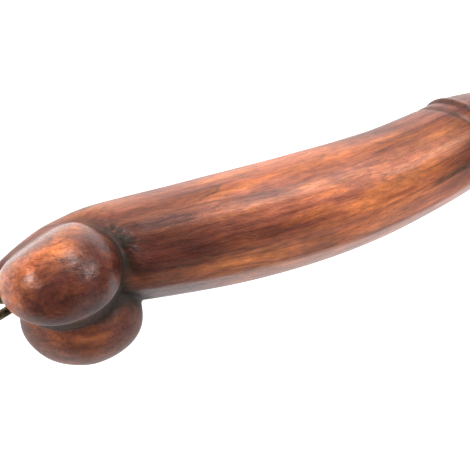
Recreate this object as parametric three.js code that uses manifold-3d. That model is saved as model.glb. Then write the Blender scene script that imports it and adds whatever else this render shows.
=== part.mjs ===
// A hand-carved hardwood novelty bottle opener, lying on its side as on a table.
// One billet is carved into a curved grip, a rimmed rounded head and two lobes at the butt.
// A bent steel rod loop is glued into the butt, and a small steel tooth is brazed in its bow.
// Millimetres, +Z up. The carving is drawn in its own plane (X towards the head, Y towards
// the back, Z sideways) and is then laid over into the attitude in which it rests.

import * as THREE from 'three';
import { mergeVertices } from 'three/addons/utils/BufferGeometryUtils.js';
import Module from 'manifold-3d';

// ---- driving dimensions -------------------------------------------------------------

// Centreline of the grip and head: straight at the butt, bending towards the back.
const BUTT = new THREE.Vector3(-79, 10.2, 0);
const BUTT_HEADING = -5.6; // degrees from +X
const BUTT_STRAIGHT = 80; // pull of the straight start
const NOSE = new THREE.Vector3(107.2, 20.9, 0);
const NOSE_HEADING = 21.3; // degrees from +X
const NOSE_STRAIGHT = 69.5; // pull of the head end

// Radius along the centreline, measured from the butt along the back of the piece.
const PROFILE = [
  [0, 0],
  [2.5, 5],
  [9, 9],
  [20, 13.1],
  [33, 15.6],
  [46, 16.6],
  [60, 17.3],
  [76, 18],
  [92, 18.2],
  [108, 18.05],
  [124, 17.4],
  [134, 16.8],
  [148, 16.2],
  [157, 15.7],
  [160, 15.4],
  [161, 15], // the groove cut behind the rim
  [162.2, 16.2], // the rim
  [164, 15.6],
  [167, 14.9],
  [171, 13.9],
  [174.5, 12.9],
  [178, 11.8],
  [182, 10.1],
  [185, 8.2],
  [187.2, 5.8],
  [188.3, 3.2],
  [188.7, 0],
];
const PROFILE_STEPS = 78;
const ROUND_SIDES = 44;

// The rim of the head leans: it starts this much nearer to the nose on the belly side.
const RIM_LEAN = 7.9;
const LEAN_START = 100;
const LEAN_FULL = 158;
const LEAN_END = 188.7;

// The two lobes under the butt, each a stretched ball. They were cut by eye, so they differ.
const LOBES = [
  { centre: [-57.8, -3.5, 9.5], semiAxes: [19.3, 16.5, 15.3], yaw: -2 },
  { centre: [-53.4, -6.2, -10.8], semiAxes: [19.4, 16.6, 14], yaw: -18 },
];
const LOBE_SIDES = 36;
const LOBE_RINGS = 22;

// The steel loop: one rod, bent so that both ends lie side by side in a drilled socket.
const ROD = 3; // diameter
const ROD_SIDES = 12;
const ROD_STEPS = 84;
const LOOP_LINE_Y = -2.6; // the loop's middle line, below the grip's centreline
const NECK_X = -73.5; // where the two legs part
const LEG_SPREAD = 20; // degrees each side
const NECK_RADIUS = 5; // inside bend where a leg leaves the socket, to the middle of the rod
const BOW_RADIUS = 12; // to the middle of the rod
const TANG_GAP = 0.4; // between the two glued ends
const TANG_DEPTH = 24; // length of the glued ends
const SOCKET = { diameter: 8.4, depth: 27 };
const SOCKET_SIDES = 24;
const PLUG_MOUTH_X = NECK_X + 1; // the glue stops just inside the wood
const CLEARANCE = 0.3; // gap between pieces that fit or rest on each other

// The tooth that catches a crown cap.
const TOOTH = { width: 9, reach: 6, noseRadius: 2.5, thickness: 2 };

// The direction, in the carving's own axes, that points straight up when it lies on a table.
const UP_AT_REST = new THREE.Vector3(0.04, -0.808, 1).normalize();

// ---- helpers ------------------------------------------------------------------------

const wasm = await Module();
wasm.setup();

const quarter = Math.PI / 2;

function solid(geometry) {
  const plain = geometry.clone();
  plain.deleteAttribute('normal');
  plain.deleteAttribute('uv');
  const merged = mergeVertices(plain, 1e-4);
  return new wasm.Manifold(new wasm.Mesh({
    numProp: 3,
    vertProperties: new Float32Array(merged.attributes.position.array),
    triVerts: new Uint32Array(merged.index.array),
  }));
}

function surface(manifold) {
  const mesh = manifold.getMesh();
  const geometry = new THREE.BufferGeometry();
  geometry.setAttribute('position', new THREE.BufferAttribute(mesh.vertProperties, 3));
  geometry.setIndex(new THREE.BufferAttribute(mesh.triVerts, 1));
  geometry.computeVertexNormals();
  return geometry;
}

function heading(degrees) {
  const angle = THREE.MathUtils.degToRad(degrees);
  return new THREE.Vector3(Math.cos(angle), Math.sin(angle), 0);
}

// ---- the carved wood ----------------------------------------------------------------

const centreline = new THREE.CubicBezierCurve3(
  BUTT,
  BUTT.clone().addScaledVector(heading(BUTT_HEADING), BUTT_STRAIGHT),
  NOSE.clone().addScaledVector(heading(NOSE_HEADING), -NOSE_STRAIGHT),
  NOSE,
);

function leanAt(station) {
  const rise = THREE.MathUtils.smoothstep(station, LEAN_START, LEAN_FULL);
  const fall = THREE.MathUtils.smoothstep(station, LEAN_FULL, LEAN_END);
  return RIM_LEAN * rise * (1 - fall);
}

// From 0 on the back to 1 on the belly.
function towardsBelly(back, radius) {
  return radius > 0 ? 0.5 - 0.5 * (back / radius) : 0;
}

function bendOntoCentreline(geometry, length) {
  const place = geometry.attributes.position;
  for (let i = 0; i < place.count; i += 1) {
    const across = place.getX(i);
    const station = place.getY(i);
    const back = place.getZ(i);
    const radius = Math.hypot(across, back);
    const leaned = station + leanAt(station) * towardsBelly(back, radius);
    const along = THREE.MathUtils.clamp(leaned / length, 0, 1);
    const middle = centreline.getPointAt(along);
    const tangent = centreline.getTangentAt(along);
    place.setXYZ(
      i,
      middle.x - tangent.y * back,
      middle.y + tangent.x * back,
      across,
    );
  }
  return geometry;
}

function makeGripAndHead() {
  const outline = new THREE.SplineCurve(PROFILE.map(([station, radius]) => (
    new THREE.Vector2(radius, station)
  )));
  const points = outline.getPoints(PROFILE_STEPS);
  const lathe = new THREE.LatheGeometry(points, ROUND_SIDES);
  const length = PROFILE[PROFILE.length - 1][0];
  return solid(bendOntoCentreline(lathe, length));
}

function makeLobe({ centre, semiAxes, yaw }) {
  const ball = new THREE.SphereGeometry(1, LOBE_SIDES, LOBE_RINGS);
  ball.rotateX(Math.PI / 2);
  ball.scale(...semiAxes);
  ball.rotateZ(THREE.MathUtils.degToRad(yaw));
  ball.translate(...centre);
  return solid(ball);
}

function makeSocket() {
  const reach = 20; // beyond the butt, so that the drill opens the surface
  const drill = new THREE.CylinderGeometry(
    SOCKET.diameter / 2,
    SOCKET.diameter / 2,
    SOCKET.depth + reach,
    SOCKET_SIDES,
  );
  drill.rotateZ(quarter);
  drill.translate(NECK_X + (SOCKET.depth - reach) / 2, LOOP_LINE_Y, 0);
  return solid(drill);
}

function makeCarvedBody() {
  const wood = LOBES.reduce((body, lobe) => body.add(makeLobe(lobe)), makeGripAndHead());
  return surface(wood.subtract(makeSocket()));
}

// ---- the steel loop -----------------------------------------------------------------

class FlatRodCurve extends THREE.Curve {
  constructor(outline) {
    super();
    this.outline = outline;
  }

  getPoint(t, target = new THREE.Vector3()) {
    const point = this.outline.getPoint(t);
    return target.set(point.x, point.y, 0);
  }
}

const spread = THREE.MathUtils.degToRad(LEG_SPREAD);
const tangOffset = (ROD + TANG_GAP) / 2;
const legStart = new THREE.Vector2(
  NECK_X - NECK_RADIUS * Math.sin(spread),
  tangOffset + NECK_RADIUS * (1 - Math.cos(spread)),
);
const bowX = legStart.x - (BOW_RADIUS - legStart.y * Math.cos(spread)) / Math.sin(spread);

function makeLoopCurve() {
  const upperY = LOOP_LINE_Y + tangOffset;
  const lowerY = LOOP_LINE_Y - tangOffset;
  const tangEnd = NECK_X + TANG_DEPTH;
  const outline = new THREE.Path();
  outline.moveTo(tangEnd, upperY);
  outline.absarc(NECK_X, upperY + NECK_RADIUS, NECK_RADIUS, -quarter, -quarter - spread, true);
  outline.absarc(bowX, LOOP_LINE_Y, BOW_RADIUS, quarter - spread, spread - quarter, false);
  outline.absarc(NECK_X, lowerY - NECK_RADIUS, NECK_RADIUS, quarter + spread, quarter, true);
  outline.lineTo(tangEnd, lowerY);
  return new FlatRodCurve(outline);
}

function makeRod(diameter) {
  const section = new THREE.Shape().absarc(0, 0, diameter / 2, 0, 2 * Math.PI);
  return new THREE.ExtrudeGeometry(section, {
    extrudePath: makeLoopCurve(),
    steps: ROD_STEPS,
    curveSegments: ROD_SIDES / 2,
  });
}

function makeOpenerLoop() {
  return surface(solid(makeRod(ROD)));
}

function makeCapTooth() {
  const root = bowX - BOW_RADIUS;
  const tip = root + ROD / 2 + TOOTH.reach;
  const shoulder = tip - TOOTH.noseRadius;
  const outline = new THREE.Shape();
  outline.moveTo(root, -TOOTH.width / 2);
  outline.lineTo(root, TOOTH.width / 2);
  outline.lineTo(shoulder, TOOTH.noseRadius);
  outline.absarc(shoulder, 0, TOOTH.noseRadius, quarter, -quarter, true);
  outline.closePath();
  const plate = new THREE.ExtrudeGeometry(outline, {
    depth: TOOTH.thickness,
    bevelEnabled: false,
    curveSegments: 10,
  });
  plate.translate(0, LOOP_LINE_Y, -TOOTH.thickness / 2);
  return surface(solid(plate).subtract(solid(makeRod(ROD + 2 * CLEARANCE))));
}

function makeEpoxyPlug() {
  const radius = SOCKET.diameter / 2 - CLEARANCE;
  const inner = NECK_X + SOCKET.depth - CLEARANCE;
  const length = inner - PLUG_MOUTH_X;
  const plug = new THREE.CylinderGeometry(radius, radius, length, SOCKET_SIDES);
  plug.rotateZ(quarter);
  plug.translate(PLUG_MOUTH_X + length / 2, LOOP_LINE_Y, 0);
  return surface(solid(plug).subtract(solid(makeRod(ROD + 2 * CLEARANCE))));
}

// ---- the assembly -------------------------------------------------------------------

const MATERIALS = {
  varnishedWood: { color: 0x82412a, roughness: 0.32, metalness: 0 },
  tarnishedSteel: { color: 0x554b32, roughness: 0.42, metalness: 1 },
  epoxy: { color: 0x3a2a1c, roughness: 0.35, metalness: 0 },
};

function piece(name, geometry, look) {
  const mesh = new THREE.Mesh(geometry, new THREE.MeshStandardMaterial(MATERIALS[look]));
  mesh.name = name;
  return mesh;
}

const carving = new THREE.Group();
carving.add(piece('carved_body', makeCarvedBody(), 'varnishedWood'));
carving.add(piece('opener_loop', makeOpenerLoop(), 'tarnishedSteel'));
carving.add(piece('cap_tooth', makeCapTooth(), 'tarnishedSteel'));
carving.add(piece('epoxy_plug', makeEpoxyPlug(), 'epoxy'));
carving.quaternion.setFromUnitVectors(UP_AT_REST, new THREE.Vector3(0, 0, 1));

// The table is z = 0, and the origin is below the middle of the box round the whole piece.
const opener = new THREE.Group();
opener.add(carving);
opener.updateMatrixWorld(true);
const box = new THREE.Box3().setFromObject(opener, true);
const middle = box.getCenter(new THREE.Vector3());
carving.position.set(-middle.x, -middle.y, -box.min.z);

export default opener;
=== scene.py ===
"""Looks of the carved hardwood bottle opener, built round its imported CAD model."""

import math

import bpy
import numpy as np
from mathutils import Matrix, Vector


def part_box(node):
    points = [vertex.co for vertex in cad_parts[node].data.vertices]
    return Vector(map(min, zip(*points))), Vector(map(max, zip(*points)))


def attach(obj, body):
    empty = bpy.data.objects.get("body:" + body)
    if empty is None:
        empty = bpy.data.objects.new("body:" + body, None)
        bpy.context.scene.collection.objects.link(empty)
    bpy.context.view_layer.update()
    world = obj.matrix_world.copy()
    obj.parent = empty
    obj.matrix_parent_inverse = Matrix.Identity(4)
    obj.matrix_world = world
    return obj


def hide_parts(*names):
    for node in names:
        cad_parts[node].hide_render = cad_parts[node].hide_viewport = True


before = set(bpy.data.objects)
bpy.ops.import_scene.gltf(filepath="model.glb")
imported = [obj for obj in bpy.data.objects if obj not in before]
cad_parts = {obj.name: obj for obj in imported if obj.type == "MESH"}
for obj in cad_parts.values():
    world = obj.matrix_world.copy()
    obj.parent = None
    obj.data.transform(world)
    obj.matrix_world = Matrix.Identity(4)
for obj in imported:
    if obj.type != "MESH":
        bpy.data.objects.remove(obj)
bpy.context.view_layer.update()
MM = 0.001

# ---- dimensions, in millimetres, in the carving's own axes --------------------------------
# X runs towards the head, Y towards the back of the bend, Z sideways to the upper lobe.

# Straight up, as the piece lies on its lower lobe and the back of its head.
UP_AT_REST = Vector((0.04, -0.808, 1.0)).normalized()

# The centreline's two ends in X and Y, its headings there, and how far each end pulls it straight.
BUTT = np.array([-79.0, 10.2])
BUTT_HEADING = math.radians(-5.6)
BUTT_STRAIGHT = 80.0
NOSE = np.array([107.2, 20.9])
NOSE_HEADING = math.radians(21.3)
NOSE_STRAIGHT = 69.5

# Radius of the grip and head at stations along the centreline, measured on its back.
PROFILE = [
    (0, 0), (2.5, 5), (9, 9.0), (20, 13.1), (33, 15.6), (46, 16.6), (60, 17.3), (76, 18.0),
    (92, 18.2), (108, 18.05), (124, 17.4), (134, 16.8), (148, 16.2), (157, 15.7),
    (160.0, 15.4), (161.0, 15.0), (162.2, 16.2), (164, 15.6), (167, 14.9), (171, 13.9),
    (174.5, 12.9), (178, 11.8), (182, 10.1), (185, 8.2), (187.2, 5.8), (188.3, 3.2), (188.7, 0),
]

# From the bend on, the profile leans forward on the belly, up to the rim and back to none at
# the nose.
RIM_LEAN = 7.9
LEAN_START = 100.0
LEAN_FULL = 158.0
LEAN_END = 188.7
LEAN_ROUNDS = 8

# A second, shallower ring is cut behind the rim, and it leans more.
RING_STATION = 153.8
RING_LEAN = 13.4
RING_DEPTH = 0.4
RING_WIDTH = 1.3
RING_END = (0.6, 0.85)  # it fades out here, from the back (0) to the belly (1)

# Knife facets run along the grip and wander round it in slow waves: size in radians, radians
# for each millimetre, and start. The facets along the belly are cut deeper.
FACETS = 11
FACET_START = -1.5
FACET_WAVES = [(0.25, 0.031, 0.5), (0.15, 0.083, 0.0)]
FACET_DEPTH = 0.16
BELLY_FACET_DEPTH = 0.25
BELLY_FACET_SPAN = (0.90, 0.98)
FACET_MEAN = 0.63  # about the mean of a half wave, so that the cuts keep the grip's size

# Slow unevenness of the grip.
SWELL_HEIGHT = 0.16
SWELL_LENGTH = 26.0
SWELL_WIDTH = 9.0

# Facets and unevenness start at the butt and are mostly sanded away on the head.
CARVED_SPAN = (14.0, 40.0)
SANDED_SPAN = (150.0, 160.0)
SANDED_SHARE = 0.6

# One dark streak lies along the grip just before the rim; the angle is from the back.
STREAK_SPAN = (138.0, 158.0)
STREAK_ANGLE = 152.0
STREAK_WIDTH = 4.0

# The two lobes and the waist of wood between them: centre, half-axes and turn about Z.
NEAR_LOBE = ((-57.8, -4.5, 9.5), (19.3, 17.3, 15.3), math.radians(-2))
FAR_LOBE = ((-53.4, -6.2, -10.8), (19.4, 16.6, 14.0), math.radians(-18))
WAIST = ((-56.5, -5.0, 2.6), (15.6, 13.8, 9.0), math.radians(-8))
WAIST_BLEND = 1.2
LOBE_BLEND = 2.0
LOBE_LUMPS = [(0.35, 11.0, 7), (0.16, 5.5, 8)]  # height, size and seed

# The upper lobe ends below in a lip, which rises a little towards the head. Under the lip the
# wood is cut back by the step.
LIP_HEIGHT = 8.8
LIP_RISE = 0.04
LIP_ROUND = 1.0
LIP_STEP = 2.2

# The grip is hollowed beside the upper lobe, over these spans of X and Z.
COVE_DEPTH = 2.6
COVE_WIDTH = 5.0
COVE_X = (-60.0, -44.0)
COVE_Z = (-3.0, 6.0)

# Torn fibres in the hollow, between these two points.
SPLINTERS = np.array([[-38.8, 3.6, 13.8], [-35.2, -1.4, 12.9]])
SPLINTER_REACH = 3.0
SPLINTER_DEPTH = 0.4
SPLINTER_WAVES = np.array([0.5, 1.1, 1.1])

# A slope trimmed on the back of each lobe. The normal is the upper lobe's, and the lower lobe's
# is its mirror image in the carving's middle plane.
SLOPE_NORMAL = np.array([-0.348, 0.717, 0.604])
SLOPE_OFFSET = 36.1
SLOPE_ROUND = 4.0

# The grip is cut back on each side of the butt too, a little further out.
BUTT_SLOPE_NORMAL = np.array([-0.40, 0.90, 0.20])
BUTT_SLOPE_OFFSET = 40.1
BUTT_SLOPE_ROUND = 3.0

# The grip runs into the lobes in a fillet, which is softer at the butt, below the neck and
# beside the upper lobe: how much softer, and the spans of X and Z.
FILLET = 0.6
EVERYWHERE = (-1000.0, -999.0)  # a span that leaves everything on the piece full
SOFTER_FILLETS = [
    (1.4, (-50.0, -70.0), EVERYWHERE),
    (0.8, (-50.0, -40.0), (2.0, -6.0)),
    (1.6, (-58.0, -48.0), (-1.0, 4.0)),
]

# The bent rod, the socket that its two tangs are glued into, and the tooth in its bow.
ROD = 3.0
LOOP_LINE_Y = -2.6
NECK_X = -73.5
NECK_RADIUS = 5.0
BOW_RADIUS = 12.0
LEG_SPREAD = math.radians(20)
TANG_GAP = 0.4
TANG_DEPTH = 24.0
SOCKET_DIAMETER = 8.4
SOCKET_DEPTH = 27.0
SOCKET_EDGE = 0.3
PLUG_MOUTH_X = NECK_X + 1.0
CLEARANCE = 0.3
TOOTH_WIDTH = 9.0
TOOTH_REACH = 6.0
TOOTH_NOSE = 2.5
TOOTH_THICKNESS = 2.0

# The rod is a little thinner than its nominal size, with dents and rounded ends.
ROD_SKIN = 0.06
DENT_DEPTH = 0.05
DENT_LENGTH = 7.0
DENT_TURNS = 1.2
ROD_END_ROUND = 0.5
ROD_END_SHARE = 0.65
ROD_SIDES = 28

# The tooth sits just off the bow, its lip is lifted and its edges are broken.
TOOTH_SEAT = 0.09
TOOTH_LIFT = 0.35
TOOTH_ARC = math.radians(80)
TOOTH_EDGE = 0.25

# The glue sinks below the socket's mouth and creeps up each leg.
GLUE_SINK = 0.2
GLUE_CONE = 0.10
MENISCUS_HEIGHT = 0.6
MENISCUS_REACH = 2.2
GLUE_GAP = 0.05
GLUE_ROUND = 0.5
GLUE_ROD_GAP = 0.02
GLUE_ROD_ROUND = 0.15
GLUE_VOXEL = 0.5

# The wood's mesh: the box that is searched for its surface, and the size of its faces.
WOOD_BOX = ((-86, -29, -30), (114, 38, 30))
VOXEL = 0.6
RELAXED_SHARE = 0.4

# ---- sizes of the marks of age, and of painted shade and light, on the wood ---------------
# A span runs from where its mark is absent to where it is full. Names that end in X, Y or Z
# are spans of that axis; spans round the grip count from the back (0) to the belly (1).

# Old stain with painted shade sits in the groove beside the grip, on the lip and in the crease
# under it; painted shadow lies at the wall of the rim, painted shade in the ring behind it, and
# old stain in the one streak. The torn fibres break it up.
GROOVE_STAIN_AND_SHADE = 1.1
GROOVE_REACH = 4.4
GROOVE_BACK_LOSS = 0.45
GROOVE_BACK_Y = (0.0, 10.0)
LIP_STAIN_AND_SHADE = (0.8, 0.0)  # span of the height above the lip
CREASE_STAIN_AND_SHADE = 0.85
CREASE_Z = (-2.0, 0.4)
CREASE_CLEARED = 0.6
CREASE_CLEARED_Z = (3.2, 6.0)
CREASE_OFF_GRIP = (0.3, 1.5)
WALL_SHADOW = 0.5
WALL_STATION = 161.3
WALL_WIDTH = 0.8
RING_SHADE = 0.55
STREAK_STAIN = 0.75
STREAK_FADES = (7.0, 4.0)
SPLINTER_STAIN = 1.6

# Painted shade darkens these areas of the grip, with some handling wear at the neck. Each is a sum
# of
# patches: the strength, the span of stations and the span round the grip.
NECK = [
    (0.66, (100.0, 58.0), EVERYWHERE),
    (0.14, (100.0, 58.0), (0.45, 0.75)),
    (0.26, (100.0, 58.0), (0.76, 0.88)),
    (0.24, (74.0, 46.0), (0.35, 0.60)),
]
# Painted shade over the back of the bend.
BEND = [
    (0.54, (106.0, 130.0), (0.8, 0.5)),
    (0.30, (106.0, 122.0), (0.25, 0.10)),
]
# Painted shade along the underside of the grip.
UNDERSIDE = [(0.50, (114.0, 88.0), (0.78, 0.90))]
RIM_SHADE = 0.75
RIM_SHADE_SPAN = (138.0, 156.0)
# Painted shade on the grip's lower side, towards its back.
LOW_SIDE_SHADE = 0.38
LOW_SIDE_Z = (0.0, -8.0)
LOW_SIDE_ROUND = (0.8, 0.5)
# Painted light brightens a narrow strip along the belly.
PALE_BELLY = 0.5
PALE_BELLY_SPAN = (0.93, 0.985)

# Painted light brightens the upper lobe in one patch of X and Y, and painted shade darkens it
# towards the grip and on its slope.
NEAR_SHADE = 0.12
BRIGHT_PATCH = 0.70
BRIGHT_X = (-59.5, 10.0)  # middle and reach
BRIGHT_Y = (-6.5, 6.0)
TURNED_SHADE = 0.98
TURNED_WEIGHT = 0.9
TURNED_SPAN = (-0.45, 0.5)
SLOPE_SHADE = 0.6
SLOPE_SPAN = (-3.5, -0.5)

# Painted shade on the lower lobe, darkest towards the grip, with a band of painted light near its
# top.
FAR_SHADE = 0.72
FAR_BAND = 0.6
FAR_BAND_Z = (-3.0, 2.6)  # middle and reach
FAR_BAND_X = (-46.0, -58.0)
FAR_NECK_SHADE = 0.25
FAR_NECK_X = (-52.0, -42.0)

# How worn the varnish is.
GRIP_DULLNESS = 0.55
BELLY_POLISH = 0.20
BELLY_POLISH_SPAN = (0.50, 0.80)
LIP_DULLNESS = 0.7
LIP_DULL_SPAN = (6.0, 2.0)
LIP_GLOSS = 0.9
FAR_DULLNESS = 1.0

# The lobes' looks take over from the grip's where the lobes are nearer by this much. There the
# grain is cut short, counted from this station.
LOBE_LOOK = (-1.0, 5.0)
GRAIN_SHORTENING = 2.2
GRAIN_STATION = 25.0


# ---- where the carving lies in the frame --------------------------------------------------

def carving_to_frame():
    """The turn and shift from the carving's axes (mm) to the frame (m)."""
    turn = UP_AT_REST.rotation_difference(Vector((0, 0, 1))).to_matrix()
    low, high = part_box("epoxy_plug")
    inner = NECK_X + SOCKET_DEPTH - CLEARANCE
    plug_middle = Vector(((PLUG_MOUTH_X + inner) / 2, LOOP_LINE_Y, 0))
    shift = (low + high) / 2 - turn @ plug_middle * MM
    return turn, shift


TURN, SHIFT = carving_to_frame()
CARVING = Matrix.Translation(SHIFT) @ TURN.to_4x4() @ Matrix.Diagonal((MM, MM, MM, 1))


# ---- small helpers for fields of points ---------------------------------------------------

def fade(x, span):
    """Smoothly from 0 at the span's first value to 1 at its second, which may be the smaller."""
    t = np.clip((x - span[0]) / (span[1] - span[0]), 0, 1)
    return t * t * (3 - 2 * t)


def hump(away, reach):
    """From 1 at no distance smoothly down to nothing at about twice the reach."""
    return np.exp(-(away / reach) ** 2)


def smooth_min(a, b, blend):
    h = np.clip(0.5 + 0.5 * (b - a) / blend, 0, 1)
    return b + (a - b) * h - blend * h * (1 - h)


def smooth_max(a, b, blend):
    return -smooth_min(-a, -b, blend)


def lattice_value(ix, iy, iz, seed):
    mask = 0xFFFFFFFF
    n = (ix * 374761393 + iy * 668265263 + iz * 2147483647 + seed * 1274126177) & mask
    n = ((n ^ (n >> 13)) * 1274126177) & mask
    n = ((n ^ (n >> 16)) * 2246822519) & mask
    return ((n ^ (n >> 15)) & 0xFFFFFF) / float(0xFFFFFF) * 2 - 1


def value_noise(points, seed):
    """Smooth noise from -1 to 1, one cell for each unit."""
    cell = np.floor(points).astype(np.int64)
    f = points - cell
    f = f * f * (3 - 2 * f)
    total = 0
    for corner in np.ndindex(2, 2, 2):
        weight = 1
        for axis in range(3):
            weight = weight * (f[:, axis] if corner[axis] else 1 - f[:, axis])
        ix, iy, iz = (cell[:, axis] + corner[axis] for axis in range(3))
        total = total + weight * lattice_value(ix, iy, iz, seed)
    return total


# ---- the carving as a distance field ------------------------------------------------------

class Centreline:
    """A cubic curve in the carving's middle plane, read by its length."""

    steps = 2001
    beyond = 30.0
    fitting_rounds = 4

    def __init__(self):
        start = BUTT + BUTT_STRAIGHT * np.array([math.cos(BUTT_HEADING), math.sin(BUTT_HEADING)])
        end = NOSE - NOSE_STRAIGHT * np.array([math.cos(NOSE_HEADING), math.sin(NOSE_HEADING)])
        t = np.linspace(0, 1, self.steps)[:, None]
        curve = (
            (1 - t) ** 3 * BUTT + 3 * (1 - t) ** 2 * t * start
            + 3 * (1 - t) * t * t * end + t ** 3 * NOSE
        )
        lengths = np.linalg.norm(np.diff(curve, axis=0), axis=1)
        station = np.concatenate([[0], np.cumsum(lengths)])
        tangent = np.gradient(curve, station, axis=0)
        tangent /= np.linalg.norm(tangent, axis=1, keepdims=True)
        before = curve[0] - tangent[0] * self.beyond
        after = curve[-1] + tangent[-1] * self.beyond
        self.station = np.concatenate([[-self.beyond], station, [station[-1] + self.beyond]])
        self.curve = np.vstack([before, curve, after])
        self.tangent = np.vstack([tangent[0], tangent, tangent[-1]])

    def at(self, station):
        values = (self.curve[:, 0], self.curve[:, 1], self.tangent[:, 0], self.tangent[:, 1])
        return [np.interp(station, self.station, v) for v in values]

    def coordinates(self, points):
        """Station along the grip, distance towards its back, and distance sideways."""
        station = np.interp(points[:, 0], self.curve[:, 0], self.station)
        for _ in range(self.fitting_rounds):
            x, y, tx, ty = self.at(station)
            station = station + (points[:, 0] - x) * tx + (points[:, 1] - y) * ty
        x, y, tx, ty = self.at(station)
        back = (points[:, 1] - y) * tx - (points[:, 0] - x) * ty
        return station, back, points[:, 2]


def smooth_outline(points, steps=24):
    """A Catmull-Rom curve through the points."""
    p = np.array(points, float)
    pieces = []
    for i in range(len(p) - 1):
        before = p[max(i - 1, 0)]
        after = p[min(i + 2, len(p) - 1)]
        v0 = (p[i + 1] - before) / 2
        v1 = (after - p[i]) / 2
        t = np.linspace(0, 1, steps, endpoint=False)[:, None]
        rise = p[i] - p[i + 1]
        cubic = 2 * rise + v0 + v1
        square = -3 * rise - 2 * v0 - v1
        pieces.append(cubic * t ** 3 + square * t * t + v0 * t + p[i])
    pieces.append(p[-1:])
    return np.vstack(pieces)


class ProfileDistance:
    """Signed distance to the turned profile, kept as a table over station and radius."""

    step = 0.25
    first = -12.0
    last = 200.0
    widest = 30.0

    def __init__(self):
        outline = smooth_outline(PROFILE)
        stations = np.arange(self.first, self.last + 1e-6, self.step)
        radii = np.arange(0, self.widest + 1e-6, self.step)
        s, r = (v.ravel() for v in np.meshgrid(stations, radii, indexing="ij"))
        nearest = np.full(len(s), 1e9)
        for a, b in zip(outline[:-1], outline[1:]):
            ab = b - a
            t = np.clip(((s - a[0]) * ab[0] + (r - a[1]) * ab[1]) / (ab @ ab), 0, 1)
            gap = (s - a[0] - t * ab[0]) ** 2 + (r - a[1] - t * ab[1]) ** 2
            nearest = np.minimum(nearest, gap)
        wall = np.interp(s, outline[:, 0], outline[:, 1], left=0, right=0)
        sign = np.where((r < wall) & (s > 0) & (s < outline[-1, 0]), -1, 1)
        self.table = (np.sqrt(nearest) * sign).reshape(len(stations), len(radii))

    def __call__(self, station, radius):
        table = self.table
        x = np.clip((station - self.first) / self.step, 0, table.shape[0] - 1.001)
        y = np.clip(radius / self.step, 0, table.shape[1] - 1.001)
        i = x.astype(int)
        j = y.astype(int)
        fx = x - i
        fy = y - j
        low = table[i, j] * (1 - fx) + table[i + 1, j] * fx
        high = table[i, j + 1] * (1 - fx) + table[i + 1, j + 1] * fx
        return low * (1 - fy) + high * fy


CENTRELINE = Centreline()
PROFILE_DISTANCE = ProfileDistance()


def belly_share(back, radius):
    """From 0 on the back to 1 on the belly."""
    return 0.5 - 0.5 * back / np.maximum(radius, 1e-6)


def ring_cut(station, belly):
    """From 0 to 1 in the shallow ring, which fades out towards the belly."""
    away = station - RING_STATION - RING_LEAN * belly
    return hump(away, RING_WIDTH) * (1 - fade(belly, RING_END))


def upright_station(station, belly):
    """The profile's own station: near the rim the profile leans forward on the belly."""
    own = station.copy()
    for _ in range(LEAN_ROUNDS):
        rise = fade(own, (LEAN_START, LEAN_FULL))
        fall = fade(own, (LEAN_FULL, LEAN_END))
        own = (own + station - RIM_LEAN * rise * (1 - fall) * belly) / 2
    return own


def grip_and_head(points):
    station, back, across = CENTRELINE.coordinates(points)
    radius = np.hypot(back, across)
    belly = belly_share(back, radius)
    own = upright_station(station, belly)
    wander = FACET_START
    for size, rate, start in FACET_WAVES:
        wander = wander + size * np.sin(station * rate + start)
    depth = FACET_DEPTH + BELLY_FACET_DEPTH * fade(belly, BELLY_FACET_SPAN)
    turn = np.arctan2(across, back) * FACETS / 2 + wander
    knife = depth * (FACET_MEAN - np.abs(np.sin(turn)))
    places = np.stack([station / SWELL_LENGTH, back / SWELL_WIDTH, across / SWELL_WIDTH], 1)
    swell = SWELL_HEIGHT * value_noise(places, seed=3)
    cut = (knife + swell) * fade(own, CARVED_SPAN) * (1 - SANDED_SHARE * fade(own, SANDED_SPAN))
    cut = cut - RING_DEPTH * ring_cut(station, belly)
    return PROFILE_DISTANCE(own, radius) - cut


def stretched_ball(points, ball):
    centre, axes, turn = ball
    c, s = math.cos(turn), math.sin(turn)
    x, y, z = (points - np.array(centre)).T
    x, y = x * c + y * s, y * c - x * s
    scaled = np.sqrt((x / axes[0]) ** 2 + (y / axes[1]) ** 2 + (z / axes[2]) ** 2)
    slope = np.sqrt((x / axes[0] ** 2) ** 2 + (y / axes[1] ** 2) ** 2 + (z / axes[2] ** 2) ** 2)
    return scaled * (scaled - 1) / np.maximum(slope, 1e-6)


def beyond_slope(points, normal, offset, side):
    """Distance outside a trimmed slope, on the upper side (1) or the lower side (-1)."""
    return points @ (normal * np.array([1, 1, side]) / np.linalg.norm(normal)) - offset


def above_lip(points):
    return points[:, 2] - LIP_HEIGHT - LIP_RISE * (points[:, 0] - WAIST[0][0])


def lobes(points):
    """Distances to the upper lobe above its lip, and to all that lies below it."""
    uneven = sum(height * value_noise(points / size, seed) for height, size, seed in LOBE_LUMPS)
    near = stretched_ball(points, NEAR_LOBE) - uneven
    near = smooth_max(near, beyond_slope(points, SLOPE_NORMAL, SLOPE_OFFSET, 1), SLOPE_ROUND)
    under_lip = near + LIP_STEP
    near = smooth_max(near, -above_lip(points), LIP_ROUND)
    far = stretched_ball(points, FAR_LOBE) - uneven
    lower = smooth_min(far, stretched_ball(points, WAIST), WAIST_BLEND)
    lower = smooth_max(lower, beyond_slope(points, SLOPE_NORMAL, SLOPE_OFFSET, -1), SLOPE_ROUND)
    return near, smooth_min(lower, under_lip, WAIST_BLEND)


def cove(points, near):
    """How far the grip is cut away beside the upper lobe."""
    strength = fade(points[:, 0], COVE_X) * fade(points[:, 2], COVE_Z)
    return COVE_DEPTH * strength * hump(np.maximum(near, 0), COVE_WIDTH)


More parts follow.
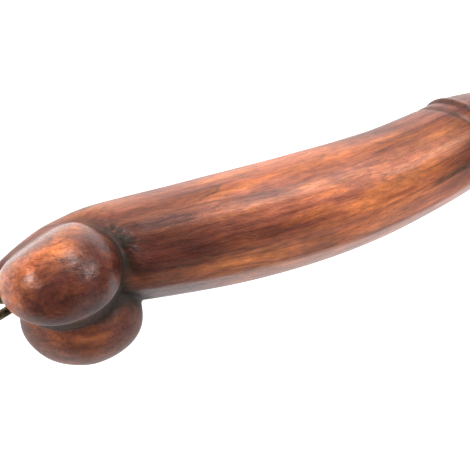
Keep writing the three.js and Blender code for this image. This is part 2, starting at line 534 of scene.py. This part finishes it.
def splinters(points):
    """Rough noise from -1 to 1 that fades out round the torn fibres."""
    start, end = SPLINTERS
    along = end - start
    share = np.clip((points - start) @ along / (along @ along), 0, 1)
    away = np.linalg.norm(points - start - share[:, None] * along, axis=1)
    return value_noise(points * SPLINTER_WAVES, seed=11) * hump(away, SPLINTER_REACH)


def fillet(points):
    """How softly the grip runs into the lobes."""
    size = FILLET
    for softer, span_x, span_z in SOFTER_FILLETS:
        size = size + softer * fade(points[:, 0], span_x) * fade(points[:, 2], span_z)
    return size


def carving(points):
    """Distance to the carved surface, without the socket."""
    near, lower = lobes(points)
    grip = grip_and_head(points) + cove(points, near) + SPLINTER_DEPTH * splinters(points)
    for side in (1, -1):
        slope = beyond_slope(points, BUTT_SLOPE_NORMAL, BUTT_SLOPE_OFFSET, side)
        grip = smooth_max(grip, slope, BUTT_SLOPE_ROUND)
    return smooth_min(grip, smooth_min(near, lower, LOBE_BLEND), fillet(points))


def wood(points):
    radius = np.hypot(points[:, 1] - LOOP_LINE_Y, points[:, 2])
    drill = np.maximum(radius - SOCKET_DIAMETER / 2, points[:, 0] - NECK_X - SOCKET_DEPTH)
    return smooth_max(carving(points), -drill, SOCKET_EDGE)


# ---- from the field to a mesh -------------------------------------------------------------

def sample(field, axes):
    """The field's value at every grid point, worked out in slabs to save memory."""
    value = np.empty([len(axis) for axis in axes], np.float32)
    slab = 24
    for first in range(0, len(axes[0]), slab):
        grid = np.meshgrid(axes[0][first:first + slab], axes[1], axes[2], indexing="ij")
        points = np.stack([g.ravel() for g in grid], 1)
        value[first:first + slab] = field(points).reshape(grid[0].shape)
    return value


def crossed_cells(inside):
    """The cells that have corners both inside and outside."""
    corners = 0
    for corner in np.ndindex(2, 2, 2):
        part = tuple(slice(o, n - 1 + o) for o, n in zip(corner, inside.shape))
        corners = corners + inside[part].astype(np.int8)
    return (corners > 0) & (corners < 8)


def surface_in_cells(value, cells):
    """In each cell, the middle of the places where the surface crosses the cell's edges."""
    total = np.zeros((len(cells), 3))
    hits = np.zeros(len(cells))
    for axis in range(3):
        along = np.eye(3, dtype=int)[axis]
        for offset in np.ndindex(2, 2):
            start = np.insert(np.array(offset), axis, 0)
            v0 = value[tuple((cells + start).T)]
            v1 = value[tuple((cells + start + along).T)]
            hit = (v0 < 0) != (v1 < 0)
            t = (v0 / np.where(hit, v0 - v1, 1))[hit, None]
            total[hit] += start + t * along
            hits[hit] += 1
    return cells + total / hits[:, None]


def quads_along(axis, inside, number):
    """A quad of cell numbers round each crossed grid edge that runs along the axis."""
    b, c = (axis + 1) % 3, (axis + 2) % 3
    here = [slice(1, n - 1) for n in inside.shape]
    here[axis] = slice(0, inside.shape[axis] - 1)
    there = list(here)
    there[axis] = slice(1, inside.shape[axis])
    edge = np.argwhere(inside[tuple(here)] != inside[tuple(there)])
    edge[:, b] += 1
    edge[:, c] += 1
    ring = []
    for db, dc in ((0, 0), (1, 0), (1, 1), (0, 1)):
        cell = edge.copy()
        cell[:, b] -= db
        cell[:, c] -= dc
        ring.append(number[tuple(cell.T)])
    ring = np.stack(ring, 1)
    ends = edge.copy()
    ends[:, axis] += 1
    turned = inside[tuple(ends.T)]
    ring[turned] = ring[turned][:, ::-1]
    return ring


def surface_net(field, low, high, size):
    """One point in each cell that the surface crosses, and one quad round each crossed edge."""
    count = [int(math.ceil((b - a) / size)) + 1 for a, b in zip(low, high)]
    value = sample(field, [a + size * np.arange(n) for a, n in zip(low, count)])
    inside = value < 0
    crossed = crossed_cells(inside)
    cells = np.argwhere(crossed)
    number = np.full(crossed.shape, -1)
    number[crossed] = np.arange(len(cells))
    points = np.array(low) + size * surface_in_cells(value, cells)
    return points, np.vstack([quads_along(axis, inside, number) for axis in range(3)])


def settle(points, field, limit, steps=2):
    """Moves points on to the surface, never further than limit in one step."""
    reach = 0.05
    least_steepness = 0.25
    for _ in range(steps):
        gradient = np.stack([
            (field(points + offset) - field(points - offset)) / (2 * reach)
            for offset in np.eye(3) * reach
        ], 1)
        steepness = np.maximum((gradient ** 2).sum(1), least_steepness)
        move = -gradient * (field(points) / steepness)[:, None]
        length = np.maximum(np.linalg.norm(move, axis=1, keepdims=True), 1e-9)
        points = points + move * np.minimum(1, limit / length)
    return points


def relax(points, quads, share):
    """Moves each point part of the way to the middle of its neighbours."""
    total = np.zeros_like(points)
    count = np.zeros(len(points))
    for a, b in ((0, 1), (1, 2), (2, 3), (3, 0)):
        for i, j in ((a, b), (b, a)):
            np.add.at(total, quads[:, i], points[quads[:, j]])
            np.add.at(count, quads[:, i], 1)
    return points * (1 - share) + total / count[:, None] * share


# ---- marks of age and painted shade and light on the wood, kept at each point of its mesh ---

def round_the_grip(points):
    """Station, the share from back to belly, and the angle from the back in degrees."""
    station, back, across = CENTRELINE.coordinates(points)
    belly = belly_share(back, np.hypot(back, across))
    return station, belly, np.degrees(np.arctan2(across, back))


def groove_stain_and_shade(points, grip, near, lower):
    """Stain and painted shade in the groove between the grip and the lobes."""
    beside = np.hypot(grip, np.minimum(near, lower))
    towards_back = 1 - GROOVE_BACK_LOSS * fade(points[:, 1], GROOVE_BACK_Y)
    return GROOVE_STAIN_AND_SHADE * hump(beside, GROOVE_REACH) * fade(points[:, 0], COVE_X) * towards_back


def crease_stain_and_shade(points, grip, near, lower):
    """Stain and painted shade on the lip of the upper lobe and in the crease under it."""
    height = points[:, 2]
    crease = CREASE_STAIN_AND_SHADE * fade(height, CREASE_Z)
    crease = crease * (1 - CREASE_CLEARED * fade(height, CREASE_CLEARED_Z))
    lip = fade(above_lip(points), LIP_STAIN_AND_SHADE)
    return np.where(lower < near, crease, lip) * fade(grip, CREASE_OFF_GRIP)


def streak_stain(station, angle):
    start, end = STREAK_SPAN
    fade_in, fade_out = STREAK_FADES
    along = fade(station, (start, start + fade_in)) * (1 - fade(station, (end - fade_out, end)))
    return STREAK_STAIN * along * hump(angle - STREAK_ANGLE, STREAK_WIDTH)


def stain_and_shade(points):
    """How dark old stain and painted shade make the wood, from 0 to 1: both in the cuts, stain
    alone in one streak.
    """
    near, lower = lobes(points)
    grip = grip_and_head(points) + cove(points, near)
    station, belly, angle = round_the_grip(points)
    dark = groove_stain_and_shade(points, grip, near, lower) + crease_stain_and_shade(points, grip, near, lower)
    # Painted shadow in the undercut at the wall of the rim.
    dark = dark + WALL_SHADOW * hump(station - RIM_LEAN * belly - WALL_STATION, WALL_WIDTH)
    # Painted shade in the shallow ring, and old stain along the one streak.
    dark = dark + RING_SHADE * ring_cut(station, belly) + streak_stain(station, angle)
    return np.clip(dark - SPLINTER_STAIN * splinters(points), 0, 1)


def on_lobes(points, near, lower):
    """From 0 on the grip to 1 on the lobes."""
    return fade(grip_and_head(points) - np.minimum(near, lower), LOBE_LOOK)


def shaded_area(station, belly, patches):
    return sum(
        strength * fade(station, along) * fade(belly, around)
        for strength, along, around in patches
    )


def shade_of_grip(points):
    station, belly, _ = round_the_grip(points)
    low_side = LOW_SIDE_SHADE * fade(points[:, 2], LOW_SIDE_Z) * fade(belly, LOW_SIDE_ROUND)
    rim = RIM_SHADE * fade(station - RIM_LEAN * belly, RIM_SHADE_SPAN)
    areas = [shaded_area(station, belly, patches) for patches in (NECK, UNDERSIDE, BEND)]
    darkest = np.maximum.reduce([*areas, rim, low_side])
    return darkest - PALE_BELLY * fade(belly, PALE_BELLY_SPAN)


def shade_of_near_lobe(points):
    x, y, _ = points.T
    (lobe_x, lobe_y, _), (long, wide, _), _ = NEAR_LOBE
    turned = TURNED_WEIGHT * (x - lobe_x) / long - (y - lobe_y) / wide
    bright = hump(x - BRIGHT_X[0], BRIGHT_X[1]) * hump(y - BRIGHT_Y[0], BRIGHT_Y[1])
    slope = fade(beyond_slope(points, SLOPE_NORMAL, SLOPE_OFFSET, 1), SLOPE_SPAN)
    dark = TURNED_SHADE * fade(turned, TURNED_SPAN) + SLOPE_SHADE * slope
    return NEAR_SHADE + dark - BRIGHT_PATCH * bright


def shade_of_far_lobe(points):
    x, _, z = points.T
    band = hump(z - FAR_BAND_Z[0], FAR_BAND_Z[1]) * fade(x, FAR_BAND_X)
    return FAR_SHADE + FAR_NECK_SHADE * fade(x, FAR_NECK_X) - FAR_BAND * band


def shade(points):
    """Painted shade, with some handling wear, up to 1; below 0 it is painted light that brightens
    the wood.
    """
    near, lower = lobes(points)
    on_lobe = np.where(near < lower, shade_of_near_lobe(points), shade_of_far_lobe(points))
    share = on_lobes(points, near, lower)
    return shade_of_grip(points) * (1 - share) + on_lobe * share


def dullness(points):
    """How worn the varnish is: least on the upper lobe, most on the lower one."""
    near, lower = lobes(points)
    share = on_lobes(points, near, lower)
    _, belly, _ = round_the_grip(points)
    on_grip = GRIP_DULLNESS - BELLY_POLISH * fade(belly, BELLY_POLISH_SPAN)
    height = above_lip(points)
    on_near = LIP_DULLNESS * fade(height, LIP_DULL_SPAN) * (1 - hump(height, LIP_GLOSS))
    on_lobe = np.where(near < lower, on_near, FAR_DULLNESS)
    return on_grip * (1 - share) + on_lobe * share


def grain(points):
    """Station, back and across. The station runs faster on the lobes, which cut the grain."""
    station, back, across = CENTRELINE.coordinates(points)
    share = on_lobes(points, *lobes(points))
    station = station + GRAIN_SHORTENING * share * (station - GRAIN_STATION)
    return np.stack([station, back, across], 1)


# ---- meshes and objects -------------------------------------------------------------------

def add_object(name, points, faces, smooth=True):
    mesh = bpy.data.meshes.new(name)
    mesh.from_pydata([tuple(p) for p in points], [], [tuple(f) for f in faces])
    mesh.transform(CARVING)
    mesh.polygons.foreach_set("use_smooth", [smooth] * len(mesh.polygons))
    mesh.update()
    made = bpy.data.objects.new(name, mesh)
    bpy.context.scene.collection.objects.link(made)
    return made


def add_attribute(mesh, name, kind, values):
    layer = mesh.attributes.new(name, kind, "POINT")
    key = "vector" if kind == "FLOAT_VECTOR" else "value"
    layer.data.foreach_set(key, np.asarray(values, np.float32).ravel())


def make_wood():
    low, high = WOOD_BOX
    points, quads = surface_net(wood, low, high, VOXEL)
    points = settle(points, wood, VOXEL / 2)
    points = relax(points, quads, RELAXED_SHARE)
    points = settle(points, wood, VOXEL / 3)
    made = add_object("carved_wood", points, quads.tolist())
    add_attribute(made.data, "grain", "FLOAT_VECTOR", grain(points))
    add_attribute(made.data, "stain_and_shade", "FLOAT", stain_and_shade(points))
    add_attribute(made.data, "shade", "FLOAT", shade(points))
    add_attribute(made.data, "dullness", "FLOAT", dullness(points))
    return made


TANG_OFFSET = (ROD + TANG_GAP) / 2
LEG_START = (
    NECK_X - NECK_RADIUS * math.sin(LEG_SPREAD),
    TANG_OFFSET + NECK_RADIUS * (1 - math.cos(LEG_SPREAD)),
)
BOW_X = LEG_START[0] - (BOW_RADIUS - LEG_START[1] * math.cos(LEG_SPREAD)) / math.sin(LEG_SPREAD)


def loop_route():
    """Points along the middle of the bent rod, from one glued end to the other."""
    route = []

    def straight(start, end, steps):
        for t in np.linspace(0, 1, steps, endpoint=False):
            route.append((start[0] + (end[0] - start[0]) * t, start[1] + (end[1] - start[1]) * t))

    def arc(centre, radius, start, end, steps):
        for angle in np.linspace(start, end, steps, endpoint=False):
            x = centre[0] + radius * math.cos(angle)
            y = centre[1] + radius * math.sin(angle)
            route.append((x, y))

    quarter = math.pi / 2
    tang_end = NECK_X + TANG_DEPTH
    bow_start = (
        BOW_X + BOW_RADIUS * math.sin(LEG_SPREAD),
        BOW_RADIUS * math.cos(LEG_SPREAD),
    )
    neck = (NECK_X, TANG_OFFSET + NECK_RADIUS)
    straight((tang_end, TANG_OFFSET), (NECK_X, TANG_OFFSET), steps=20)
    arc(neck, NECK_RADIUS, -quarter, -quarter - LEG_SPREAD, steps=8)
    straight(LEG_START, bow_start, steps=36)
    arc((BOW_X, 0), BOW_RADIUS, quarter - LEG_SPREAD, math.pi, steps=36)
    half = np.array(route)
    other = half[::-1] * np.array([1, -1])
    middle = np.array([[BOW_X - BOW_RADIUS, 0]])
    return np.vstack([half, middle, other]) + np.array([0, LOOP_LINE_Y])


def rod_ring(middle, heading, along, length):
    """One ring of points round the rod, with its dents and, near an end, its rounding."""
    angle = np.linspace(0, 2 * math.pi, ROD_SIDES, endpoint=False)
    from_end = min(min(along, length - along) / ROD_END_ROUND, 1)
    rounding = math.sqrt(1 - (1 - from_end) ** 2)
    taper = ROD_END_SHARE + (1 - ROD_END_SHARE) * rounding
    places = [np.full(ROD_SIDES, along / DENT_LENGTH)]
    places += [np.cos(angle) * DENT_TURNS, np.sin(angle) * DENT_TURNS]
    dents = value_noise(np.stack(places, 1), seed=5)
    radius = (ROD / 2 - ROD_SKIN + DENT_DEPTH * dents) * taper
    across = np.cos(angle) * radius
    x = middle[0] - heading[1] * across
    y = middle[1] + heading[0] * across
    return np.stack([x, y, np.sin(angle) * radius], 1)


def make_loop():
    """The rod, with the slight dents of cold bending and rounded sawn ends."""
    route = loop_route()
    heading = np.gradient(route, axis=0)
    heading /= np.linalg.norm(heading, axis=1, keepdims=True)
    along = np.concatenate([[0], np.cumsum(np.linalg.norm(np.diff(route, axis=0), axis=1))])
    rings = [rod_ring(*place, along[-1]) for place in zip(route, heading, along)]
    faces = []
    for start in range(0, (len(route) - 1) * ROD_SIDES, ROD_SIDES):
        for j in range(ROD_SIDES):
            a = start + j
            b = start + (j + 1) % ROD_SIDES
            faces.append((a, b, b + ROD_SIDES, a + ROD_SIDES))
    last = (len(route) - 1) * ROD_SIDES
    faces.append(tuple(range(ROD_SIDES))[::-1])
    faces.append(tuple(range(last, last + ROD_SIDES)))
    return add_object("rod_loop", np.vstack(rings), faces)


def add_bevel(made, width, segments):
    bevel = made.modifiers.new("rounded edges", "BEVEL")
    bevel.width = width * MM
    bevel.segments = segments
    bevel.limit_method = "ANGLE"
    bevel.angle_limit = math.radians(30)


def make_tooth():
    """A filed steel tab with a slightly raised lip, seated against the inside of the bow."""
    root = BOW_X - BOW_RADIUS + ROD / 2 + TOOTH_SEAT
    tip = BOW_X - BOW_RADIUS + ROD / 2 + TOOTH_REACH
    nose_x = tip - TOOTH_NOSE
    saddle = BOW_RADIUS - ROD / 2
    outline = []
    for y in np.linspace(-TOOTH_WIDTH / 2, TOOTH_WIDTH / 2, 9):
        outline.append((root + saddle - math.sqrt(saddle ** 2 - y ** 2), y))
    for angle in np.linspace(TOOTH_ARC, -TOOTH_ARC, 15):
        outline.append((nose_x + TOOTH_NOSE * math.cos(angle), TOOTH_NOSE * math.sin(angle)))
    count = len(outline)
    points = []
    for level in (-0.5, 0.5):
        for x, y in outline:
            lift = TOOTH_LIFT * ((x - root) / (tip - root)) ** 2
            points.append((x, LOOP_LINE_Y + y, level * TOOTH_THICKNESS + lift))
    faces = [tuple(range(count)), tuple(range(2 * count - 1, count - 1, -1))]
    for i in range(count):
        k = (i + 1) % count
        faces.append((k, i, count + i, count + k))
    made = add_object("steel_tooth", points, faces, smooth=False)
    add_bevel(made, TOOTH_EDGE, 2)
    return made


def glue_field(points):
    """The glue: a plug in the socket with a low meniscus up each leg, clear of wood and rod."""
    x, y, z = points.T
    y = y - LOOP_LINE_Y
    radius = np.hypot(y, z)
    legs = np.minimum(np.hypot(y - TANG_OFFSET, z), np.hypot(y + TANG_OFFSET, z))
    meniscus = MENISCUS_HEIGHT * hump(legs, MENISCUS_REACH)
    dome = PLUG_MOUTH_X - GLUE_SINK - meniscus + GLUE_CONE * radius
    inner = NECK_X + SOCKET_DEPTH - CLEARANCE
    plug = np.maximum(radius - (SOCKET_DIAMETER / 2 - GLUE_GAP), x - inner)
    plug = smooth_max(plug, dome - x, GLUE_ROUND)
    return smooth_max(plug, ROD / 2 + GLUE_ROD_GAP - legs, GLUE_ROD_ROUND)


def make_glue():
    margin = 1
    reach = SOCKET_DIAMETER / 2 + margin
    low = (PLUG_MOUTH_X - 3 * margin, LOOP_LINE_Y - reach, -reach)
    high = (NECK_X + SOCKET_DEPTH + margin, LOOP_LINE_Y + reach, reach)
    points, quads = surface_net(glue_field, low, high, GLUE_VOXEL)
    points = settle(points, glue_field, GLUE_VOXEL / 2)
    return add_object("glue_plug", points, quads.tolist())


# ---- materials ----------------------------------------------------------------------------

class Nodes:
    """A short way to write a node tree."""

    def __init__(self, name):
        self.material = bpy.data.materials.new(name)
        self.material.use_nodes = True
        self.tree = self.material.node_tree
        self.tree.nodes.clear()

    def add(self, kind, **settings):
        node = self.tree.nodes.new(kind)
        for key, value in settings.items():
            setattr(node, key, value)
        return node

    def join(self, source, target):
        self.tree.links.new(source, target)

    def value_of(self, socket, value):
        if hasattr(value, "is_linked"):
            self.join(value, socket)
        else:
            socket.default_value = value

    def math(self, operation, a, b=0.0, clamp=False):
        node = self.add("ShaderNodeMath", operation=operation, use_clamp=clamp)
        self.value_of(node.inputs[0], a)
        self.value_of(node.inputs[1], b)
        return node.outputs[0]

    def scaled(self, vector, factors, shift=(0, 0, 0)):
        node = self.add("ShaderNodeMapping")
        self.join(vector, node.inputs["Vector"])
        node.inputs["Scale"].default_value = factors
        node.inputs["Location"].default_value = shift
        return node.outputs[0]

    def warped(self, vector, scale, amount):
        """The vector pushed along by slow noise, by between nothing and the amount."""
        texture = self.add("ShaderNodeTexNoise")
        self.join(self.scaled(vector, scale), texture.inputs["Vector"])
        texture.inputs["Scale"].default_value = 1.0
        push = self.add("ShaderNodeVectorMath", operation="MULTIPLY_ADD")
        self.join(texture.outputs["Color"], push.inputs[0])
        push.inputs[1].default_value = amount
        self.join(vector, push.inputs[2])
        return push.outputs[0]

    def noise(self, vector, detail=3.0, rough=0.5):
        node = self.add("ShaderNodeTexNoise")
        self.join(vector, node.inputs["Vector"])
        node.inputs["Scale"].default_value = 1.0
        node.inputs["Detail"].default_value = detail
        node.inputs["Roughness"].default_value = rough
        return node.outputs["Fac"]

    def ramp(self, factor, stops):
        node = self.add("ShaderNodeValToRGB")
        self.join(factor, node.inputs["Fac"])
        band = node.color_ramp
        while len(band.elements) < len(stops):
            band.elements.new(0.5)
        for element, (place, colour) in zip(band.elements, stops):
            element.position = place
            element.color = (*colour, 1) if hasattr(colour, "__len__") else (colour,) * 3 + (1,)
        return node.outputs["Color"]

    def mix(self, factor, a, b, blend="MIX"):
        node = self.add("ShaderNodeMix", data_type="RGBA", blend_type=blend)
        self.value_of(node.inputs[0], factor)
        for socket, value in ((node.inputs[6], a), (node.inputs[7], b)):
            self.value_of(socket, (*value, 1) if isinstance(value, tuple) else value)
        return node.outputs[2]

    def bump(self, height, distance, strength, under=None):
        node = self.add("ShaderNodeBump")
        self.join(height, node.inputs["Height"])
        node.inputs["Distance"].default_value = distance
        node.inputs["Strength"].default_value = strength
        if under is not None:
            self.join(under, node.inputs["Normal"])
        return node.outputs[0]

    def finish(self, **inputs):
        shader = self.add("ShaderNodeBsdfPrincipled")
        for key, value in inputs.items():
            self.value_of(shader.inputs[key.replace("_", " ")], value)
        output = self.add("ShaderNodeOutputMaterial")
        self.join(shader.outputs[0], output.inputs["Surface"])
        return self.material


# Colours are linear red, green and blue. Tints multiply the colour that is there.
WOOD_TONES = [
    (0.34, (0.235, 0.064, 0.029)),
    (0.44, (0.395, 0.113, 0.046)),
    (0.53, (0.55, 0.170, 0.064)),
    (0.64, (0.74, 0.250, 0.084)),
]
HEART_TINTS = [(0.38, (0.82, 0.74, 0.98)), (0.62, (1.14, 1.03, 0.75))]
BLOT_TINTS = [(0.36, (0.72, 0.66, 0.72)), (0.50, (1.0, 1.0, 1.0)), (0.64, (1.22, 1.24, 1.05))]
FIBRE_TINTS = [(0.34, 0.60), (0.52, 1.0)]
PATCH_TINTS = [(0.36, 0.52), (0.60, 1.18)]
LINE_TINTS = [(0.0, 0.25), (0.022, 1.0)]
# Painted shade, with some handling wear, tints the wood towards this.
SHADE_AND_WEAR_TINT = (0.22, 0.19, 0.29)
# Painted light tints the wood towards this.
PAINTED_LIGHT_TINT = (1.36, 1.20, 0.85)
PORE_COLOUR = (0.06, 0.024, 0.015)
# Old stain and painted shade in the cuts darken the wood towards this colour.
STAIN_AND_SHADE_COLOUR = (0.030, 0.019, 0.013)
STEEL_TONES = [
    (0.34, (0.045, 0.030, 0.015)),
    (0.50, (0.115, 0.085, 0.045)),
    (0.66, (0.26, 0.20, 0.13)),
]
GLUE_TONES = [(0.3, (0.030, 0.018, 0.010)), (0.7, (0.075, 0.042, 0.020))]


def wood_material():
    """Noise is scaled in cells for each millimetre along, towards the back and across."""
    n = Nodes("varnished hardwood")
    straight = n.add("ShaderNodeAttribute", attribute_name="grain").outputs["Vector"]
    stain_and_shade_level = n.add("ShaderNodeAttribute", attribute_name="stain_and_shade").outputs["Fac"]
    shade_and_wear = n.add("ShaderNodeAttribute", attribute_name="shade").outputs["Fac"]
    dull = n.add("ShaderNodeAttribute", attribute_name="dullness").outputs["Fac"]
    grain = n.warped(straight, (0.022, 0.05, 0.05), (0, 5.0, 5.0))

    broad = n.noise(n.scaled(grain, (0.014, 0.11, 0.11)), detail=2, rough=0.5)
    streaks = n.noise(n.scaled(grain, (0.020, 0.42, 0.42), (3, 1, 7)), detail=5, rough=0.62)
    fibres = n.noise(n.scaled(grain, (0.10, 2.2, 2.2), (5, 2, 9)), detail=3, rough=0.6)
    patches = n.noise(n.scaled(grain, (0.055, 0.13, 0.13), (1, 8, 4)), detail=4, rough=0.6)
    heart = n.noise(n.scaled(grain, (0.03, 0.16, 0.16), (4, 9, 6)), detail=2)
    curls = n.noise(n.scaled(grain, (0.012, 0.20, 0.20), (8, 5, 2)), detail=2, rough=0.5)

    tone = n.math("ADD", n.math("MULTIPLY", broad, 0.40), n.math("MULTIPLY", streaks, 0.60))
    colour = n.ramp(tone, WOOD_TONES)
    colour = n.mix(0.6, colour, n.ramp(fibres, FIBRE_TINTS), "MULTIPLY")
    colour = n.mix(0.8, colour, n.ramp(patches, PATCH_TINTS), "MULTIPLY")
    colour = n.mix(0.8, colour, n.ramp(heart, HEART_TINTS), "MULTIPLY")
    blots = n.noise(n.scaled(grain, (0.28, 0.75, 0.75), (6, 4, 8)), detail=4, rough=0.65)
    colour = n.mix(0.7, colour, n.ramp(blots, BLOT_TINTS), "MULTIPLY")
    line = n.math("ABSOLUTE", n.math("SUBTRACT", curls, 0.5))
    colour = n.mix(0.55, colour, n.ramp(line, LINE_TINTS), "MULTIPLY")

    cells = n.noise(n.scaled(grain, (0.55, 4.5, 4.5), (2, 6, 1)), detail=1)
    pores = n.ramp(cells, [(0.61, 0.0), (0.70, 1.0)])
    colour = n.mix(n.math("MULTIPLY", pores, 0.5), colour, PORE_COLOUR)

    # Painted shade, with some handling wear, darkens the wood where the shade attribute is above
    # 0.
    uneven = n.math("ADD", 0.55, n.math("MULTIPLY", patches, 0.9))
    darkened = n.mix(1.0, colour, SHADE_AND_WEAR_TINT, "MULTIPLY")
    colour = n.mix(n.math("MULTIPLY", shade_and_wear, uneven, clamp=True), colour, darkened)
    # Painted light brightens the wood where the shade attribute is below 0.
    painted_light = n.math("MULTIPLY", shade_and_wear, -1.0, clamp=True)
    colour = n.mix(painted_light, colour, PAINTED_LIGHT_TINT, "MULTIPLY")

    ragged = n.noise(n.scaled(grain, (0.35, 0.6, 0.6), (9, 3, 3)), detail=4, rough=0.65)
    # Old stain and painted shade in the cuts darken the wood here.
    dark = n.math("MULTIPLY", stain_and_shade_level, n.math("ADD", 0.50, ragged), clamp=True)
    colour = n.mix(dark, colour, STAIN_AND_SHADE_COLOUR)

    worn = n.noise(n.scaled(grain, (0.05, 0.12, 0.12), (7, 7, 2)), detail=3)
    rough = n.math("ADD", 0.12, n.math("MULTIPLY", worn, 0.12))
    rough = n.math("ADD", rough, n.math("MULTIPLY", dull, 0.34))
    rough = n.math("ADD", rough, n.math("MULTIPLY", dark, 0.35), clamp=True)

    low = n.bump(fibres, 0.00014, 0.8, under=n.bump(patches, 0.0006, 0.5))
    normal = n.bump(n.math("SUBTRACT", 1.0, pores), 0.00008, 0.5, under=low)
    return n.finish(
        Base_Color=colour, Roughness=rough, Normal=normal,
        Specular_IOR_Level=0.45, Coat_Weight=0.08, Coat_Roughness=0.22,
    )


def steel_material():
    """Noise is scaled in cells for each metre."""
    n = Nodes("tarnished steel")
    place = n.add("ShaderNodeTexCoord").outputs["Object"]
    blotch = n.noise(n.scaled(place, (420, 420, 420)), detail=4, rough=0.6)
    specks = n.noise(n.scaled(place, (1900, 1900, 1900)), detail=2)
    return n.finish(
        Base_Color=n.ramp(blotch, STEEL_TONES), Metallic=0.85,
        Roughness=n.math("ADD", 0.26, n.math("MULTIPLY", blotch, 0.28)),
        Normal=n.bump(specks, 0.00005, 0.4),
    )


def glue_material():
    """Noise is scaled in cells for each metre."""
    n = Nodes("dark glue")
    place = n.add("ShaderNodeTexCoord").outputs["Object"]
    cloud = n.noise(n.scaled(place, (600, 600, 600)), detail=3)
    return n.finish(
        Base_Color=n.ramp(cloud, GLUE_TONES),
        Roughness=n.math("ADD", 0.2, n.math("MULTIPLY", cloud, 0.2)),
        Normal=n.bump(cloud, 0.00010, 0.4),
    )


# ---- floor, lights and camera -------------------------------------------------------------

# The floor and the wall, in metres. Both glow, which makes them plain white.
WHITE_GLOW = 1.12
FLOOR_SIZE = 6.0
WALL_RADIUS = 2.9
WALL_HEIGHT = 6.0
WALL_SUNK = 0.1


def glowing_white(name, grey, roughness):
    return Nodes(name).finish(
        Base_Color=(grey, grey, grey, 1), Roughness=roughness,
        Emission_Color=(1, 1, 1, 1), Emission_Strength=WHITE_GLOW,
    )


def make_floor():
    bpy.ops.mesh.primitive_plane_add(size=FLOOR_SIZE)
    floor = bpy.context.object
    floor.name = "floor"
    floor.data.materials.append(glowing_white("white floor", 0.45, 0.7))


def make_backdrop():
    """A plain white wall far round the piece, which only the camera sees."""
    bpy.ops.mesh.primitive_cylinder_add(
        vertices=64, radius=WALL_RADIUS, depth=WALL_HEIGHT, end_fill_type="NOTHING",
        location=(0, 0, WALL_HEIGHT / 2 - WALL_SUNK),
    )
    wall = bpy.context.object
    wall.name = "backdrop"
    wall.data.materials.append(glowing_white("white wall", 0.5, 0.9))
    for rays in ("diffuse", "glossy", "transmission", "shadow"):
        setattr(wall, "visible_" + rays, False)


# Each lamp's name, direction from the piece, distance and width in metres, power in watts, and
# whether the varnish mirrors it.
LAMPS = [
    ("key", (0.0, 0.70, 0.70), 1.0, 0.95, 9.2, False),
    ("back_card", (0.12, 0.93, 0.30), 1.0, 0.9, 1.4, True),
    ("back_box", (0.25, 0.70, 0.67), 0.9, 0.26, 2.7, True),
    ("right_box", (0.60, 0.22, 0.77), 0.9, 0.22, 2.0, True),
    ("left_box", (-0.76, 0.36, 0.54), 0.8, 0.12, 2.2, True),
    ("front_card", (0.40, -0.85, 0.33), 1.0, 0.9, 1.4, True),
]
SKY_COLOUR = (0.97, 0.98, 1.0, 1)
SKY_STRENGTH = 0.20


def soft_light(name, toward, distance, size, power, mirrored):
    """A square lamp that faces the piece from the direction given."""
    data = bpy.data.lights.new(name, "AREA")
    data.shape = "SQUARE"
    data.size = size
    data.energy = power
    lamp = bpy.data.objects.new(name, data)
    direction = Vector(toward).normalized()
    lamp.location = SHIFT + direction * distance
    lamp.rotation_mode = "QUATERNION"
    lamp.rotation_quaternion = direction.to_track_quat("Z", "Y")
    lamp.visible_glossy = mirrored
    bpy.context.scene.collection.objects.link(lamp)


def make_lights():
    for lamp in LAMPS:
        soft_light(*lamp)
    world = bpy.data.worlds.new("studio")
    world.use_nodes = True
    background = world.node_tree.nodes["Background"]
    background.inputs["Color"].default_value = SKY_COLOUR
    background.inputs["Strength"].default_value = SKY_STRENGTH
    bpy.context.scene.world = world
    bpy.context.scene.view_settings.view_transform = "Standard"


# The two angles are in the carving's axes, and the lengths are in metres.
CAMERA_AZIMUTH = math.radians(-19)
CAMERA_ELEVATION = math.radians(53)
CAMERA_DISTANCE = 0.450
FRAME_WIDTH_AT_TARGET = 0.1504
SENSOR_WIDTH = 36.0


def make_camera():
    """Looks at the origin of the carving's own axes."""
    a, e = CAMERA_AZIMUTH, CAMERA_ELEVATION
    back = Vector((math.sin(a) * math.cos(e), -math.cos(a) * math.cos(e), math.sin(e)))
    right = Vector((math.cos(a), math.sin(a), 0))
    axes = Matrix((TURN @ right, TURN @ back.cross(right), TURN @ back)).transposed()
    data = bpy.data.cameras.new("camera")
    data.sensor_width = SENSOR_WIDTH
    data.lens = SENSOR_WIDTH * CAMERA_DISTANCE / FRAME_WIDTH_AT_TARGET
    camera = bpy.data.objects.new("camera", data)
    camera.matrix_world = (
        Matrix.Translation(SHIFT + TURN @ back * CAMERA_DISTANCE) @ axes.to_4x4()
    )
    bpy.context.scene.collection.objects.link(camera)
    bpy.context.scene.camera = camera


# ---- the assembly -------------------------------------------------------------------------

def dress(made, material, node):
    made.data.materials.append(material)
    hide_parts(node)
    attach(made, "root")


def build():
    steel = steel_material()
    dress(make_wood(), wood_material(), "carved_body")
    dress(make_loop(), steel, "opener_loop")
    dress(make_tooth(), steel, "cap_tooth")
    dress(make_glue(), glue_material(), "epoxy_plug")
    make_floor()
    make_backdrop()
    make_lights()
    make_camera()


build()
